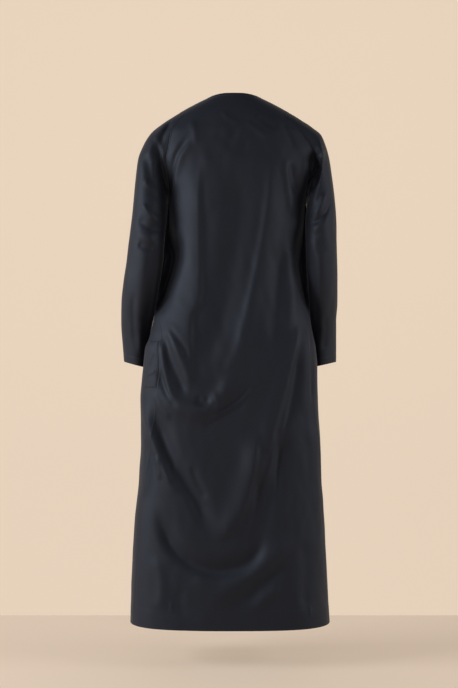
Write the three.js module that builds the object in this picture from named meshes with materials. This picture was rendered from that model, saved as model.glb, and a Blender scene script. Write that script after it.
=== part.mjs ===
// A black collarless thobe, in the hollow form and pose it is worn in.
// Millimetres. +Z up, -Y is the wearer's front, +X the wearer's left.
// The origin is on the midline at the height of the shoulder seams' neck ends.
// Every piece of cloth is one thin wall: an outer sheet of points worked out
// from the section tables, and an inner sheet set back along its normals.
import * as THREE from 'three';

const WALL = 1.6;            // cloth with its turned seams
const BAND_WALL = 2.2;       // folded neckband
const GAP = 0.3;             // between a panel and a piece laid on it
const SEAM = 0.9;            // between two pieces sewn edge to edge
const NECK_SIDE_Z = 3;       // neck end of the shoulder seam
const SHOULDER_Z = -31;      // sleeve end of the shoulder seam
const UNDERARM_Z = -262;
const UNDERARM_TURN = 2.8;   // where round the armhole the two cloths fold together
const SLEEVE_OFF = 0.3;      // sleeve's setting off from the panel edge
const HEM_Z = -1440;
const HEM_BACK_DROP = 3;     // the back hem hangs a little lower
const NECK_BACK_DROP = 0.5;    // back neck edge below the shoulder neck ends
const NECK_FRONT_DROP = 88;
const BAND_HEIGHT = 9.5;
// the pocket reaches round the side by a number of the front's columns
const PLACKET = { half: 16, bottom: -345, slit: -325, opening: 0.6 };
const POCKET = { top: -666, bottom: -792, reach: 2.4 };

// Sections of the body. left and right are the widest reach to each side,
// back and front the reach in Y, mid the Y of the widest points, square the
// exponent that says how boxy the section is.
const BODY = [
  { z: 14, left: 54, right: 55, back: 66, front: -50, mid: 4, square: 2.2 },
  { z: 3, left: 76.5, right: 78, back: 71, front: -55, mid: 4, square: 2.2 },
  { z: -8, left: 99.5, right: 101.5, back: 76, front: -60, mid: 4, square: 2.2 },
  { z: -31, left: 142, right: 144.5, back: 88, front: -70, mid: 4, square: 2.2 },
  { z: -64, left: 191, right: 194, back: 100, front: -84, mid: 3, square: 2.2 },
  { z: -97, left: 218, right: 225, back: 109, front: -98, mid: 2, square: 2.3 },
  { z: -150, left: 224, right: 246, back: 118, front: -112, mid: 0, square: 2.3 },
  { z: -190, left: 207, right: 237, back: 122, front: -120, mid: -2, square: 2.3 },
  { z: -230, left: 190, right: 215, back: 122, front: -125, mid: -5, square: 2.3 },
  { z: -262, left: 182, right: 203, back: 120.5, front: -128, mid: -8, square: 2.3 },
  { z: -300, left: 184, right: 200, back: 119, front: -129, mid: -12, square: 2.3 },
  { z: -350, left: 190, right: 200, back: 117, front: -130, mid: -16, square: 2.3 },
  { z: -402, left: 195, right: 201, back: 115, front: -130, mid: -18, square: 2.3 },
  { z: -450, left: 200, right: 202, back: 112, front: -130, mid: -18, square: 2.3 },
  { z: -510, left: 207, right: 204, back: 112, front: -130, mid: -12, square: 2.3 },
  { z: -570, left: 216, right: 207, back: 116, front: -130, mid: 2, square: 2.35 },
  { z: -620, left: 224, right: 212, back: 121, front: -130, mid: 18, square: 2.4 },
  { z: -655, left: 232, right: 218, back: 125, front: -130, mid: 28, square: 2.5 },
  { z: -685, left: 245, right: 224, back: 128, front: -130, mid: 33, square: 2.5 },
  { z: -730, left: 250, right: 228, back: 129, front: -130, mid: 32, square: 2.5 },
  { z: -830, left: 258, right: 230, back: 128, front: -130, mid: 20, square: 2.6 },
  { z: -940, left: 258, right: 237, back: 127, front: -130, mid: 10, square: 2.7 },
  { z: -1050, left: 264, right: 241, back: 127, front: -131, mid: 0, square: 2.8 },
  { z: -1160, left: 275, right: 250, back: 129, front: -133, mid: -6, square: 2.9 },
  { z: -1270, left: 281, right: 256, back: 132, front: -136, mid: -12, square: 3.0 },
  { z: -1380, left: 285, right: 262, back: 135, front: -139, mid: -18, square: 3.0 },
  { z: -1450, left: 287.5, right: 265.5, back: 136.5, front: -141, mid: -20, square: 3.0 },
];

// Where the armhole and side seams run, as a share of the widest reach.
const BACK_SEAM_LEFT = [
  { z: -31, share: 1 }, { z: -38, share: 0.93 }, { z: -55, share: 0.8 },
  { z: -82, share: 0.79 }, { z: -115, share: 0.797 }, { z: -147, share: 0.813 },
  { z: -174, share: 0.865 }, { z: -200, share: 0.9 }, { z: -235, share: 0.95 },
  { z: -262, share: 1 },
];
const BACK_SEAM_RIGHT = [
  { z: -31, share: 1 }, { z: -38, share: 0.93 }, { z: -55, share: 0.8 },
  { z: -85, share: 0.8 }, { z: -115, share: 0.837 }, { z: -150, share: 0.882 },
  { z: -177, share: 0.945 }, { z: -205, share: 0.955 }, { z: -235, share: 0.97 },
  { z: -262, share: 1 },
];
const FRONT_SEAM = [
  { z: -31, share: 1 }, { z: -38, share: 0.93 }, { z: -55, share: 0.79 },
  { z: -85, share: 0.74 }, { z: -115, share: 0.72 }, { z: -150, share: 0.73 },
  { z: -180, share: 0.77 }, { z: -215, share: 0.84 }, { z: -242, share: 0.92 },
  { z: -262, share: 1 },
];
// Side seams, drawn round to the back at the hip where the cloth is pulled.
const SIDE_SEAM_LEFT = [
  { z: -262, share: 1 }, { z: -500, share: 1 }, { z: -556, share: 0.985 },
  { z: -604, share: 0.93 }, { z: -655, share: 0.86 }, { z: -740, share: 0.81 },
  { z: -790, share: 0.815 }, { z: -900, share: 0.86 }, { z: -1100, share: 0.93 },
  { z: -1450, share: 0.97 },
];
const SIDE_SEAM_RIGHT = [
  { z: -262, share: 1 }, { z: -510, share: 1 }, { z: -600, share: 0.98 },
  { z: -700, share: 0.955 }, { z: -790, share: 0.95 }, { z: -1000, share: 0.97 },
  { z: -1450, share: 0.985 },
];

// Folds. path is in (x, z) on the sheet that is named; high is positive for a
// ridge; the two widths are those on the +X and -X side of a falling path.
const FOLDS = {
  back: [
    { path: [[-52, -190], [-40, -354], [-10, -475], [17, -609], [60, -722], [95, -776]],
      high: -11, plus: 34, minus: 24 },
    { path: [[-102, -190], [-75, -367], [-53, -488], [-32, -615], [-5, -730], [40, -800]],
      high: 9, plus: 20, minus: 30 },
    { path: [[-165, -400], [-156, -474], [-153, -555], [-151, -640]],
      high: 8, plus: 22, minus: 20 },
    { path: [[-176, -590], [-163, -679], [-142, -771], [-118, -854], [-96, -932],
      [-75, -1012], [-56, -1077]], high: 10, plus: 34, minus: 13 },
    { path: [[181, -605], [157, -676], [130, -738], [112, -800]],
      high: 8, plus: 12, minus: 16 },
    { path: [[192, -640], [173, -712], [153, -760], [128, -820]],
      high: -9, plus: 14, minus: 12 },
    { path: [[215, -790], [156, -835], [92, -851], [54, -832], [22, -792], [0, -738]],
      high: 10, plus: 30, minus: 22 },
    { path: [[228, -842], [203, -914], [176, -978], [143, -1035], [114, -1078],
      [87, -1132], [71, -1190]], high: -13, plus: 16, minus: 24 },
    { path: [[-62, -900], [-51, -999], [-37, -1066], [-16, -1128], [17, -1177],
      [60, -1203]], high: 9, plus: 34, minus: 14 },
    { path: [[200, -1120], [180, -1203], [143, -1249], [89, -1278], [33, -1286],
      [-29, -1270], [-64, -1227], [-82, -1165]], high: -12, plus: 16, minus: 26 },
    { path: [[-153, -1180], [-112, -1238], [-72, -1273], [-29, -1300], [11, -1335],
      [33, -1390]], high: 10, plus: 22, minus: 16 },
    { path: [[110, -130], [152, -193], [167, -240]], high: -9, plus: 9, minus: 14 },
    { path: [[95, -190], [95, -367], [97, -528], [119, -623], [127, -717]],
      high: 6, plus: 40, minus: 22 },
  ],
  // the cloth under each arm, drawn forward out of sight of the back
  tuck: [
    { path: [[186, -270], [184, -330], [180, -385], [170, -425], [172, -455],
      [184, -500], [198, -545], [210, -580], [216, -603]], high: -46, plus: 17, minus: 17 },
    { path: [[-207, -140], [-207, -214], [-198, -262], [-198, -320], [-193, -385],
      [-184, -430], [-180, -460], [-192, -505], [-201, -550], [-212, -600]],
      high: -40, plus: 15, minus: 15 },
  ],
  front: [
    { path: [[120, -300], [95, -430], [100, -600], [120, -760]], high: 9, plus: 34, minus: 26 },
    { path: [[-80, -330], [-62, -470], [-74, -640], [-60, -790]], high: -8, plus: 30, minus: 26 },
    { path: [[-140, -560], [-128, -700], [-110, -860], [-100, -1010]],
      high: 10, plus: 22, minus: 30 },
    { path: [[176, -800], [150, -950], [120, -1070], [70, -1180]], high: -11, plus: 24, minus: 20 },
    { path: [[-150, -1080], [-110, -1190], [-40, -1250], [40, -1270], [100, -1230]],
      high: -10, plus: 20, minus: 26 },
    { path: [[30, -820], [20, -960], [36, -1120]], high: 8, plus: 30, minus: 24 },
  ],
};

// Sleeve rings. The outer point runs down the top of the shoulder and arm, the
// inner point from the underarm down; depth is half the size in Y about mid.
const SLEEVE_LEFT = [
  { outX: 143, outZ: -31, inX: 182, inZ: -262, depth: 88, mid: -2 },
  { outX: 170, outZ: -48, inX: 184, inZ: -271, depth: 86, mid: -2 },
  { outX: 202.4, outZ: -70, inX: 185.5, inZ: -282, depth: 82, mid: 1 },
  { outX: 231, outZ: -95, inX: 185, inZ: -295, depth: 78, mid: 8 },
  { outX: 249.1, outZ: -126, inX: 185, inZ: -312, depth: 73, mid: 16 },
  { outX: 262.7, outZ: -162, inX: 186, inZ: -332, depth: 69, mid: 24 },
  { outX: 268.9, outZ: -205, inX: 188.5, inZ: -356, depth: 66, mid: 30 },
  { outX: 274.1, outZ: -258, inX: 190.5, inZ: -385, depth: 64, mid: 35 },
  { outX: 280.2, outZ: -320, inX: 192.5, inZ: -418, depth: 62, mid: 37 },
  { outX: 287.5, outZ: -385, inX: 197, inZ: -456, depth: 60, mid: 36 },
  { outX: 295, outZ: -445, inX: 203.7, inZ: -502, depth: 58, mid: 29 },
  { outX: 305.1, outZ: -502, inX: 211.8, inZ: -548, depth: 56, mid: 19 },
  { outX: 313.6, outZ: -560, inX: 221.9, inZ: -598, depth: 54, mid: 2 },
  { outX: 315, outZ: -614, inX: 231, inZ: -642, depth: 52.5, mid: -18 },
  { outX: 311.9, outZ: -669, inX: 238.5, inZ: -692, depth: 51.5, mid: -37 },
  { outX: 308, outZ: -723, inX: 243, inZ: -740, depth: 51, mid: -49 },
];
const SLEEVE_RIGHT = [
  { outX: 145, outZ: -31, inX: 203, inZ: -262, depth: 88, mid: -2 },
  { outX: 173, outZ: -48, inX: 204, inZ: -271, depth: 86, mid: -2 },
  { outX: 211.9, outZ: -72, inX: 204.5, inZ: -282, depth: 82, mid: 1 },
  { outX: 241.4, outZ: -97, inX: 202, inZ: -295, depth: 78, mid: 10 },
  { outX: 253, outZ: -127, inX: 199.7, inZ: -312, depth: 73, mid: 18 },
  { outX: 262.1, outZ: -163, inX: 197.7, inZ: -332, depth: 69, mid: 25 },
  { outX: 268.4, outZ: -206, inX: 197.5, inZ: -356, depth: 66, mid: 30 },
  { outX: 274.6, outZ: -258, inX: 197, inZ: -385, depth: 64, mid: 35 },
  { outX: 279.7, outZ: -320, inX: 197.5, inZ: -420, depth: 62, mid: 36 },
  { outX: 282.3, outZ: -385, inX: 198.8, inZ: -458, depth: 60, mid: 33 },
  { outX: 284.1, outZ: -445, inX: 201.8, inZ: -502, depth: 58, mid: 24 },
  { outX: 285.9, outZ: -502, inX: 205.6, inZ: -548, depth: 56, mid: 10 },
  { outX: 287.4, outZ: -560, inX: 210.1, inZ: -598, depth: 54, mid: -10 },
  { outX: 285, outZ: -614, inX: 214.5, inZ: -642, depth: 52.5, mid: -28 },
  { outX: 284.9, outZ: -670, inX: 218, inZ: -693, depth: 51.5, mid: -44 },
  { outX: 285, outZ: -724, inX: 220, inZ: -738, depth: 51, mid: -53 },
];
const SLEEVE_FOLDS_LEFT = [
  { path: [[211, -130], [197, -182], [189, -225], [184, -262]], high: -10, plus: 16, minus: 10 },
  { path: [[258, -389], [232, -364], [196, -350]], high: -7, plus: 20, minus: 20 },
];
const SLEEVE_FOLDS_RIGHT = [
  { path: [[-254, -290], [-240, -328], [-216, -347], [-200, -352]],
    high: -8, plus: 18, minus: 18 },
];

// A smooth curve through a table's column that never overshoots its rows.
function column(table, at, key) {
  const rows = [...table].sort((a, b) => a[at] - b[at]);
  const x = rows.map((r) => r[at]);
  const y = rows.map((r) => r[key]);
  const d = x.slice(1).map((v, i) => (y[i + 1] - y[i]) / (v - x[i]));
  const m = y.map((_, i) => {
    if (i === 0) return d[0];
    if (i === y.length - 1) return d[i - 1];
    if (d[i - 1] * d[i] <= 0) return 0;
    return (2 * d[i - 1] * d[i]) / (d[i - 1] + d[i]);
  });
  return (v) => {
    const q = Math.min(Math.max(v, x[0]), x[x.length - 1]);
    let i = 0;
    while (i < x.length - 2 && q > x[i + 1]) i += 1;
    const h = x[i + 1] - x[i];
    const t = (q - x[i]) / h;
    return y[i] * (2 * t ** 3 - 3 * t ** 2 + 1) + m[i] * h * (t ** 3 - 2 * t ** 2 + t)
      + y[i + 1] * (3 * t ** 2 - 2 * t ** 3) + m[i + 1] * h * (t ** 3 - t ** 2);
  };
}
const columns = (table, at, keys) => Object.fromEntries(
  keys.map((k) => [k, column(table, at, k)]));

const body = columns(BODY, 'z', ['left', 'right', 'back', 'front', 'mid', 'square']);
const seams = {
  backLeft: column(BACK_SEAM_LEFT, 'z', 'share'),
  backRight: column(BACK_SEAM_RIGHT, 'z', 'share'),
  front: column(FRONT_SEAM, 'z', 'share'),
  sideLeft: column(SIDE_SEAM_LEFT, 'z', 'share'),
  sideRight: column(SIDE_SEAM_RIGHT, 'z', 'share'),
};

const smooth = (lo, hi, v) => {
  const t = Math.min(Math.max((v - lo) / (hi - lo), 0), 1);
  return t * t * (3 - 2 * t);
};
const signed = (v, p) => Math.sign(v) * Math.abs(v) ** p;

// Height of a set of folds at (x, z): each fades in and out along its path.
function foldHeight(folds, x, z) {
  let sum = 0;
  for (const fold of folds) {
    const p = fold.path;
    const length = p.slice(1).map((b, i) => Math.hypot(b[0] - p[i][0], b[1] - p[i][1]));
    const total = length.reduce((a, b) => a + b, 0);
    let best = Infinity;
    let side = 0;
    let along = 0;
    let run = 0;
    for (let i = 0; i < length.length; i += 1) {
      const tx = (p[i + 1][0] - p[i][0]) / length[i];
      const tz = (p[i + 1][1] - p[i][1]) / length[i];
      const dx = x - p[i][0];
      const dz = z - p[i][1];
      const t = Math.min(Math.max(dx * tx + dz * tz, 0), length[i]);
      const gap = Math.hypot(dx - tx * t, dz - tz * t);
      if (gap < best) {
        best = gap;
        side = tx * dz - tz * dx;
        along = (run + t) / total;
      }
      run += length[i];
    }
    const fade = smooth(0, 0.22, along) * smooth(0, 0.22, 1 - along);
    sum += fold.high * fade * Math.exp(-((best / (side > 0 ? fold.plus : fold.minus)) ** 2));
  }
  return sum;
}

// A point of the worn body form. turn is the angle round the section: 0 at the
// wearer's left, 90 degrees at the back, 180 at the right, -90 at the front.
function bodyPoint(turn, z) {
  const c = Math.cos(turn);
  const s = Math.sin(turn);
  const n = body.square(z);
  const wide = c > 0 ? body.left(z) : body.right(z);
  const mid = body.mid(z);
  const deep = s > 0 ? body.back(z) - mid : mid - body.front(z);
  const x = wide * signed(c, 2 / n);
  const rear = signed(s, 2 / n);
  const nx = signed(c, 2 - 2 / n) / wide;
  const ny = signed(s, 2 - 2 / n) / deep;
  const size = Math.hypot(nx, ny);
  const facing = smooth(0.02, 0.4, Math.abs(rear));
  const lift = facing * foldHeight(rear > 0 ? FOLDS.back : FOLDS.front, x, z);
  const tuck = rear > 0 ? smooth(0.1, 0.4, rear) * foldHeight(FOLDS.tuck, x, z) : 0;
  return new THREE.Vector3(x + (lift * nx) / size, mid + deep * rear + (lift * ny) / size + tuck, z);
}

// Normal of a sheet given as a function of two numbers.
function sheetNormal(sheet, u, v, du, dv) {
  const a = sheet(u + du, v).sub(sheet(u - du, v));
  const b = sheet(u, v + dv).sub(sheet(u, v - dv));
  return a.cross(b).normalize();
}
const bodyNormal = (turn, z) => sheetNormal(bodyPoint, turn, z, 2e-3, 1.5);

// Angle round the section at which it reaches a share of its width.
const turnAt = (share, z) => Math.acos(Math.min(share, 1) ** (body.square(z) / 2));
// Turn moved by half the seam gap, toward the back for a positive way.
function clearOf(turn, z, way) {
  const from = bodyPoint(turn, z);
  let low = 1e-9;
  let high = 0.05;
  for (let i = 0; i < 40; i += 1) {
    const step = Math.sqrt(low * high);
    if (bodyPoint(turn + way * step, z).distanceTo(from) < SEAM / 2) low = step;
    else high = step;
  }
  return turn + way * high;
}

// A closed wall from a list of quads over outer points and their normals.
function wall(name, points, normals, ring, thick, colour) {
  // quads are turned to wind the way the normals point
  const facing = ring.reduce((sum, [a, b, , d]) => sum + points[b].clone().sub(points[a])
    .cross(points[d].clone().sub(points[a])).dot(normals[a]), 0);
  const quads = facing > 0 ? ring : ring.map((q) => [...q].reverse());
  const inner = points.map((p, i) => p.clone().addScaledVector(normals[i], -thick));
  const count = points.length;
  const faces = [];
  const edges = new Map();
  for (const q of quads) {
    const [a, b, c, d] = q;
    faces.push([a, b, c], [a, c, d]);
    faces.push([count + c, count + b, count + a], [count + d, count + c, count + a]);
    for (let i = 0; i < 4; i += 1) edges.set(`${q[i]},${q[(i + 1) % 4]}`, [q[i], q[(i + 1) % 4]]);
  }
  for (const [a, b] of edges.values()) {
    if (!edges.has(`${b},${a}`)) faces.push([b, a, count + a], [b, count + a, count + b]);
  }
  const geometry = new THREE.BufferGeometry();
  const flat = [...points, ...inner].flatMap((p) => [p.x, p.y, p.z]);
  geometry.setAttribute('position', new THREE.Float32BufferAttribute(flat, 3));
  geometry.setIndex(faces.flat());
  geometry.computeVertexNormals();
  const material = new THREE.MeshStandardMaterial({ name, color: colour, roughness: 0.75 });
  const mesh = new THREE.Mesh(geometry, material);
  mesh.name = name;
  return mesh;
}

// Quads of a grid of rows by columns; round joins the last column to the first.
function gridQuads(rows, cols, round = false) {
  const quads = [];
  for (let j = 0; j < rows - 1; j += 1) {
    for (let i = 0; i < (round ? cols : cols - 1); i += 1) {
      const k = (i + 1) % cols;
      quads.push([j * cols + i, (j + 1) * cols + i, (j + 1) * cols + k, j * cols + k]);
    }
  }
  return quads;
}

// Height of a panel's neck edge: t runs from the left neck end to the right one.
function neckHeight(isBack, t) {
  const dip = Math.sin(Math.PI * t);
  return NECK_SIDE_Z - (isBack ? NECK_BACK_DROP * dip ** 2 : NECK_FRONT_DROP * dip ** 1.7);
}

// A panel's side edge, from the neck down the shoulder and round the armhole.
function upperEdge(isBack, isLeft, s, shoulderShare) {
  let z;
  let turn = 0;
  if (s < shoulderShare) {
    z = NECK_SIDE_Z + (SHOULDER_Z - NECK_SIDE_Z) * (s / shoulderShare);
  } else {
    const f = (s - shoulderShare) / (1 - shoulderShare);
    z = SHOULDER_Z + (UNDERARM_Z - SHOULDER_Z) * (1 - Math.cos(Math.PI * f)) / 2;
    const share = isBack ? (isLeft ? seams.backLeft(z) : seams.backRight(z)) : seams.front(z);
    turn = turnAt(share, z) * (isBack ? 1 : -1);
  }
  turn = Math.abs(clearOf(turn, z, isBack ? 1 : -1));
  return { z, share: Math.cos(turn) ** (2 / body.square(z)) };
}

// Rows of (turn, z) for a panel. Angles are for the back; the front takes
// their negative above the underarm and passes the side seams below it.
function panelRows(isBack, upper, lower, cols) {
  const shoulderShare = 3 / upper;
  const blend = (a, b, t) => a + (b - a) * t;
  const rows = [];
  for (let j = 0; j < upper; j += 1) {
    const s = j / upper;
    const left = upperEdge(isBack, true, s, shoulderShare);
    const right = upperEdge(isBack, false, s, shoulderShare);
    const row = [];
    for (let i = 0; i <= cols; i += 1) {
      const t = i / cols;
      const side = t < 0.5 ? left : right;
      const reach = t < 0.5 ? body.left : body.right;
      const neck = (side.z - UNDERARM_Z) / (NECK_SIDE_Z - UNDERARM_Z);
      const z = side.z + neck * (neckHeight(isBack, t) - NECK_SIDE_Z);
      const x = side.share * reach(side.z) * Math.abs(Math.cos(Math.PI * t)) ** (2 / body.square(z));
      const turn = turnAt(x / reach(z), z);
      row.push([(isBack ? 1 : -1) * (t < 0.5 ? turn : Math.PI - turn), z]);
    }
    rows.push(row);
  }
  for (let j = 0; j <= lower; j += 1) {
    const z = UNDERARM_Z + (HEM_Z - UNDERARM_Z) * (j / lower) ** ROW_GROWTH;
    const way = isBack ? 1 : -1;
    const left = clearOf(turnAt(seams.sideLeft(z), z), z, way);
    const right = clearOf(Math.PI - turnAt(seams.sideRight(z), z), z, -way);
    const row = [];
    for (let i = 0; i <= cols; i += 1) {
      const turn = isBack ? blend(left, right, i / cols)
        : blend(left, right - 2 * Math.PI, i / cols);
      const drop = HEM_BACK_DROP * Math.max(Math.sin(turn), 0) * smooth(0.6, 1, j / lower);
      row.push([turn, z - drop]);
    }
    rows.push(row);
  }
  return rows;
}

const UPPER = 13;            // panel rows down to the underarm, and below it
const LOWER = 29;
const ROW_GROWTH = 1.15;     // the lower rows start closer together
const BACK_COLS = 30;
const FRONT_COLS = 26;

// The points and normals of a panel's outer sheet, row by row.
function panelGrid(isBack, cols) {
  const rows = panelRows(isBack, UPPER, LOWER, cols);
  return rows.map((row) => row.map(([turn, z]) => (
    { turn, z, point: bodyPoint(turn, z), normal: bodyNormal(turn, z) })));
}

function panel(name, rows, slitBottom, colour) {
  const cols = rows[0].length - 1;
  const points = rows.flat().map((v) => v.point.clone());
  const normals = rows.flat().map((v) => v.normal.clone());
  let quads = gridQuads(rows.length, cols + 1);
  // the front opening: the middle column is doubled above the slit's end
  if (slitBottom !== null) {
    const middle = cols / 2;
    const twin = new Map();
    rows.forEach((row, j) => {
      if (row[middle].z > slitBottom) {
        const at = j * (cols + 1) + middle;
        twin.set(at, points.length);
        points.push(points[at].clone().add(new THREE.Vector3(-PLACKET.opening / 2, 0, 0)));
        points[at].x += PLACKET.opening / 2;
        normals.push(normals[at].clone());
      }
    });
    quads = quads.map((q) => (Math.min(...q.map((v) => v % (cols + 1))) === middle
      && Math.max(...q.map((v) => v % (cols + 1))) === middle + 1
      ? q.map((v) => (twin.has(v) ? twin.get(v) : v)) : q));
  }
  return wall(name, points, normals, quads, WALL, colour);
}

// The armhole as a closed loop: 0 at the shoulder, 90 degrees at the back.
function armhole(isLeft, around) {
  const z = SHOULDER_Z + (UNDERARM_Z - SHOULDER_Z) * (1 - Math.cos(around)) / 2;
  const isBack = Math.sin(around) >= 0;
  const share = isBack ? (isLeft ? seams.backLeft(z) : seams.backRight(z)) : seams.front(z);
  const turn = turnAt(share, z) * (isBack ? 1 : -1);
  return bodyPoint(isLeft ? turn : Math.PI - turn, z);
}

function sleeve(name, isLeft, table, folds, rings, round, colour) {
  const last = table.length - 1;
  const rows = table.map((r, i) => ({ ...r, i }));
  const ring = columns(rows, 'i', ['outX', 'outZ', 'inX', 'inZ', 'depth', 'mid']);
  const sign = isLeft ? 1 : -1;
  const plain = (s, around) => {
    const c = Math.cos(around);
    const x = (ring.outX(s) + ring.inX(s)) / 2 + ((ring.outX(s) - ring.inX(s)) / 2) * c;
    const z = (ring.outZ(s) + ring.inZ(s)) / 2 + ((ring.outZ(s) - ring.inZ(s)) / 2) * c;
    return new THREE.Vector3(sign * x, ring.mid(s) + ring.depth(s) * signed(Math.sin(around), 0.92), z);
  };
  const sheet = (s, around) => {
    const p = plain(s, around);
    const keep = (1 - smooth(0, 5.5, s));
    if (keep > 0) p.addScaledVector(armhole(isLeft, around).sub(plain(0, around)), keep);
    const rear = Math.sin(around);
    if (rear > 0) p.y += smooth(0.1, 0.6, rear) * smooth(0.1, 1.5, s) * foldHeight(folds, p.x, p.z);
    return p;
  };
  const points = [];
  const normals = [];
  for (let j = 0; j <= rings; j += 1) {
    const s = (j / rings) * last;
    for (let i = 0; i < round; i += 1) {
      const around = (2 * Math.PI * i) / round;
      const p = sheet(s, around);
      const n = sheetNormal(sheet, s, around, 0.05, 0.02);
      if (!isLeft) n.negate();
      const low = Math.exp(-(((around - UNDERARM_TURN) / 0.5) ** 2));
      const off = (SLEEVE_OFF + (isLeft ? 0.8 : 2) * low) * (1 - smooth(0, 2, s));
      points.push(p.add(new THREE.Vector3(sign * off, 0, 0)));
      normals.push(n);
    }
  }
  return wall(name, points, normals, gridQuads(rings + 1, round, true), WALL, colour);
}

// The neckband stands on the panels' neck edge, open where the placket closes.
function neckband(name, back, front, colour) {
  const middle = FRONT_COLS / 2;
  const edge = [...front[0].slice(middle), ...[...back[0]].reverse().slice(1, -1),
    ...front[0].slice(0, middle + 1)].map((v) => v.point);
  const rows = 3;
  const points = [];
  const toward = edge.map((p) => new THREE.Vector3(-p.x * Math.abs(p.x) / 85, (-2 - p.y) * 0.2, 34)
    .normalize());
  for (let j = 0; j < rows; j += 1) {
    edge.forEach((p, i) => {
      const q = p.clone().addScaledVector(toward[i], GAP + 0.2 + (BAND_HEIGHT * j) / (rows - 1));
      if (i === 0) q.x -= 0.5;
      if (i === edge.length - 1) q.x += 0.5;
      points.push(q);
    });
  }
  const cols = edge.length;
  const normals = points.map((_, k) => {
    const i = k % cols;
    const a = edge[Math.max(i - 1, 0)].clone().sub(edge[Math.min(i + 1, cols - 1)]);
    return a.cross(toward[i]).normalize();
  });
  return wall(name, points, normals, gridQuads(rows, cols), BAND_WALL, colour);
}

// A strip laid on a panel: its points are the panel's own, moved out. The stops
// are places along the panel's rows and columns, whole numbers or between them.
function laid(name, grid, rowStops, colStops, thick, colour) {
  const points = [];
  const normals = [];
  const at = (r, c, key) => {
    const j = Math.min(Math.floor(r), grid.length - 2);
    const i = Math.min(Math.floor(c), grid[0].length - 2);
    const low = grid[j][i][key].clone().lerp(grid[j][i + 1][key], c - i);
    return low.lerp(grid[j + 1][i][key].clone().lerp(grid[j + 1][i + 1][key], c - i), r - j);
  };
  for (const r of rowStops) {
    for (const c of colStops(r)) {
      const n = at(r, c, 'normal').normalize();
      points.push(at(r, c, 'point').addScaledVector(n, GAP * 3 + thick));
      normals.push(n);
    }
  }
  return wall(name, points, normals, gridQuads(rowStops.length, points.length / rowStops.length),
    thick, colour);
}

// Stops from a first to a last place with every whole row or column between.
function stops(first, last) {
  const list = [first];
  for (let v = Math.floor(first) + 1; v < last - 0.05; v += 1) list.push(v);
  return [...list, last];
}
const rowOf = (z) => UPPER
  + LOWER * ((UNDERARM_Z - z) / (UNDERARM_Z - HEM_Z)) ** (1 / ROW_GROWTH);

const CLOTH = 0x1b1c21;
const back = panelGrid(true, BACK_COLS);
const front = panelGrid(false, FRONT_COLS);
const thobe = new THREE.Group();
thobe.name = 'thobe';
thobe.add(panel('back', back, null, CLOTH));
thobe.add(panel('front', front, PLACKET.slit, CLOTH));
thobe.add(sleeve('sleeve_left', true, SLEEVE_LEFT, SLEEVE_FOLDS_LEFT, 24, 20, CLOTH));
thobe.add(sleeve('sleeve_right', false, SLEEVE_RIGHT, SLEEVE_FOLDS_RIGHT, 24, 20, CLOTH));
thobe.add(neckband('neckband', back, front, CLOTH));
const middle = FRONT_COLS / 2;
// columns that lie a set distance in X from the middle one, in any row
const strip = (half) => (r) => {
  const j = Math.floor(r);
  const at = (c) => front[j][c].point.x * (j + 1 - r) + front[j + 1][c].point.x * (r - j);
  return [middle - half / (at(middle - 1) - at(middle)), middle,
    middle + half / (at(middle) - at(middle + 1))];
};
thobe.add(laid('placket', front, stops(0.03, rowOf(PLACKET.bottom)), strip(PLACKET.half),
  WALL, CLOTH));
thobe.add(laid('pocket_left', front, stops(rowOf(POCKET.top), rowOf(POCKET.bottom)),
  () => stops(0.06, POCKET.reach), WALL, CLOTH));

export default thobe;
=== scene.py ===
"""A black collarless thobe, hollow as worn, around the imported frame.

The cloth follows the same section tables as the solids, at a finer mesh and
with the smaller folds, hems, seams and stitches. The cloth's sizes are in
millimetres. Its cut, the stage, the lights and the camera are in metres.
"""
import math

import bmesh
import bpy
import numpy as np
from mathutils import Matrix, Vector


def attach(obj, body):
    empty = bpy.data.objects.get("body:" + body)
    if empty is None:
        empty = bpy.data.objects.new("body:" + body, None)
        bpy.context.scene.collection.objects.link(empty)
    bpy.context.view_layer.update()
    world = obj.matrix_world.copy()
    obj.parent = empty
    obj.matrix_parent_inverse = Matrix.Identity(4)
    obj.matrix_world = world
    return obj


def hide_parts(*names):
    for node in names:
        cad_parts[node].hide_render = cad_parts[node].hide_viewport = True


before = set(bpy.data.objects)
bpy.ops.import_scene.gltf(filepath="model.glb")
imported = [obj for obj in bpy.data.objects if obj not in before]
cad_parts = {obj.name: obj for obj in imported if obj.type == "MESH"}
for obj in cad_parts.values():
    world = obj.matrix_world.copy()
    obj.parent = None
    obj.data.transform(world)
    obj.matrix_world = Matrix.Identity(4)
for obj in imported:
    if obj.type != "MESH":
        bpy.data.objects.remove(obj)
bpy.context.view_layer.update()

MM = 0.001
TINY = 1e-9                  # keeps a division by a length from failing
CLOTH = 1.3                  # thickness of one layer with its finish
HEM_EXTRA = 1.3              # the turned-up cloth inside a hem or cuff
HEM_SOFT = 1.0               # half the height over which it sets in
NECK_SIDE_Z = 3.0
NECK_BACK_DROP = 0.5
NECK_FRONT_DROP = 88.0
NECK_FRONT_CURVE = 1.7       # above 1, the front neck gets narrower towards its foot
SHOULDER_Z = -31.0
UNDERARM_Z = -262.0
HEM_Z = -1440.0
HEM_DEPTH = 50.0
HEM_LINE_Z = HEM_Z + HEM_DEPTH
HEM_BACK_DROP = 3.0
HEM_DROP_FROM = 0.6          # share of the way down from the underarm where the drop starts
HEM_STEP = 0.35              # how far the doubled hem stands out
HEM_GROOVE = 0.5             # depth of the sewn line at its top
HEM_GROOVE_WIDTH = 2.6
STEP_ABOVE, STEP_BELOW = 5.0, 2.0                # the step's soft ends about that line
EDGE_ROLL = 0.9              # how far a panel's edge rolls out beside its seam
EDGE_ROLL_AT, EDGE_ROLL_WIDTH = 2.2, 1.9
EDGE_SINK, EDGE_SINK_WIDTH = 0.3, 0.8            # at the seam itself

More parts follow.
